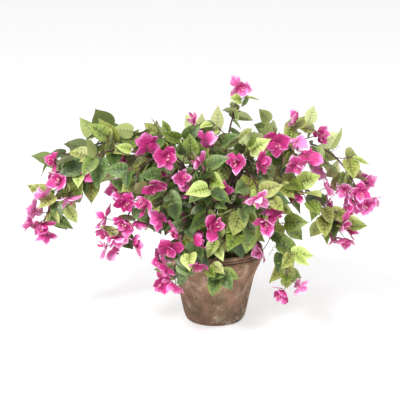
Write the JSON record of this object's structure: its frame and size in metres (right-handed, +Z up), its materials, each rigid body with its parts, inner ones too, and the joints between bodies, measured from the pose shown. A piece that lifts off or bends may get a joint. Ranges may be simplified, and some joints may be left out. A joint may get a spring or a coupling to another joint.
{
  "type": "artificial potted bougainvillea bush",
  "caption": "Spreading artificial bougainvillea bush with pink bracts and heart-shaped leaves on arching wire stems, standing in a round aged terracotta pot.",
  "frame": {"origin": "centre of the pot's flat underside, on the ground", "axes": "+Z up along the pot's axis; +X along the crown's widest spread, to the right when seen from the front; -Y is the front"},
  "size_m": [0.5749, 0.3806, 0.3909],
  "materials": {
    "terracotta": "matt aged terracotta, unglazed, mottled brown with a pale limy bloom",
    "moss": "dry moss over a cast filling",
    "wrapped_wire": "purple-brown wrapped wire, fine bark grain",
    "silk_foliage": "printed polyester cloth: green leaves and pink bracts"
  },
  "bodies": {
    "root": {"pot": "terracotta", "pot_fill": "moss", "stem": "wrapped_wire", "bough_left_far": "wrapped_wire", "spray_left_far": "silk_foliage", "bough_left_upper": "wrapped_wire", "spray_left_upper": "silk_foliage", "bough_left_low": "wrapped_wire", "spray_left_low": "silk_foliage", "bough_left_mid": "wrapped_wire", "spray_left_mid": "silk_foliage", "bough_front_left": "wrapped_wire", "spray_front_left": "silk_foliage", "bough_front": "wrapped_wire", "spray_front": "silk_foliage", "bough_front_right": "wrapped_wire", "spray_front_right": "silk_foliage", "bough_right_low": "wrapped_wire", "spray_right_low": "silk_foliage", "bough_right_mid": "wrapped_wire", "spray_right_mid": "silk_foliage", "bough_right_arch": "wrapped_wire", "spray_right_arch": "silk_foliage", "bough_right_upper": "wrapped_wire", "spray_right_upper": "silk_foliage", "bough_upright_right": "wrapped_wire", "spray_upright_right": "silk_foliage", "bough_top": "wrapped_wire", "spray_top": "silk_foliage", "bough_upright_left": "wrapped_wire", "spray_upright_left": "silk_foliage", "bough_middle_left": "wrapped_wire", "spray_middle_left": "silk_foliage", "bough_middle_front": "wrapped_wire", "spray_middle_front": "silk_foliage", "bough_middle_right": "wrapped_wire", "spray_middle_right": "silk_foliage", "bough_high_front": "wrapped_wire", "spray_high_front": "silk_foliage", "bough_high_right": "wrapped_wire", "spray_high_right": "silk_foliage", "bough_crown": "wrapped_wire", "spray_crown": "silk_foliage", "bough_back_right": "wrapped_wire", "spray_back_right": "silk_foliage", "bough_back_low_right": "wrapped_wire", "spray_back_low_right": "silk_foliage", "bough_back": "wrapped_wire", "spray_back": "silk_foliage", "bough_back_low_left": "wrapped_wire", "spray_back_low_left": "silk_foliage", "bough_back_left": "wrapped_wire", "spray_back_left": "silk_foliage"}
  },
  "joints": []
}
